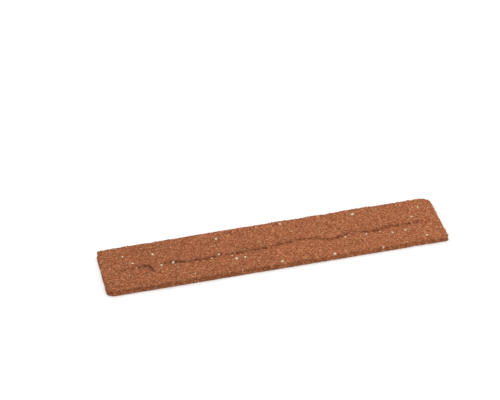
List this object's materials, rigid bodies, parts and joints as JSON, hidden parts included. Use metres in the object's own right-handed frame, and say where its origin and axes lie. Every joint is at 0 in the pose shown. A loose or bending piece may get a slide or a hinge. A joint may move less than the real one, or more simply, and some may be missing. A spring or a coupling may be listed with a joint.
{
  "type": "brick slip",
  "caption": "Thin fired-clay facing slip in the long narrow brick format, with a flat back for bonding and a sanded face crossed by a fold crease.",
  "frame": {"origin": "middle of the flat back, at the bottom centre of the bounding box", "axes": "+X along the length, towards the end with the most rounded corner; +Y across the width; +Z out of the sanded face"},
  "size_m": [0.21, 0.05, 0.004],
  "materials": {
    "fired_clay": "matte"
  },
  "bodies": {
    "root": {"brick_slip": "fired_clay"}
  },
  "joints": []
}
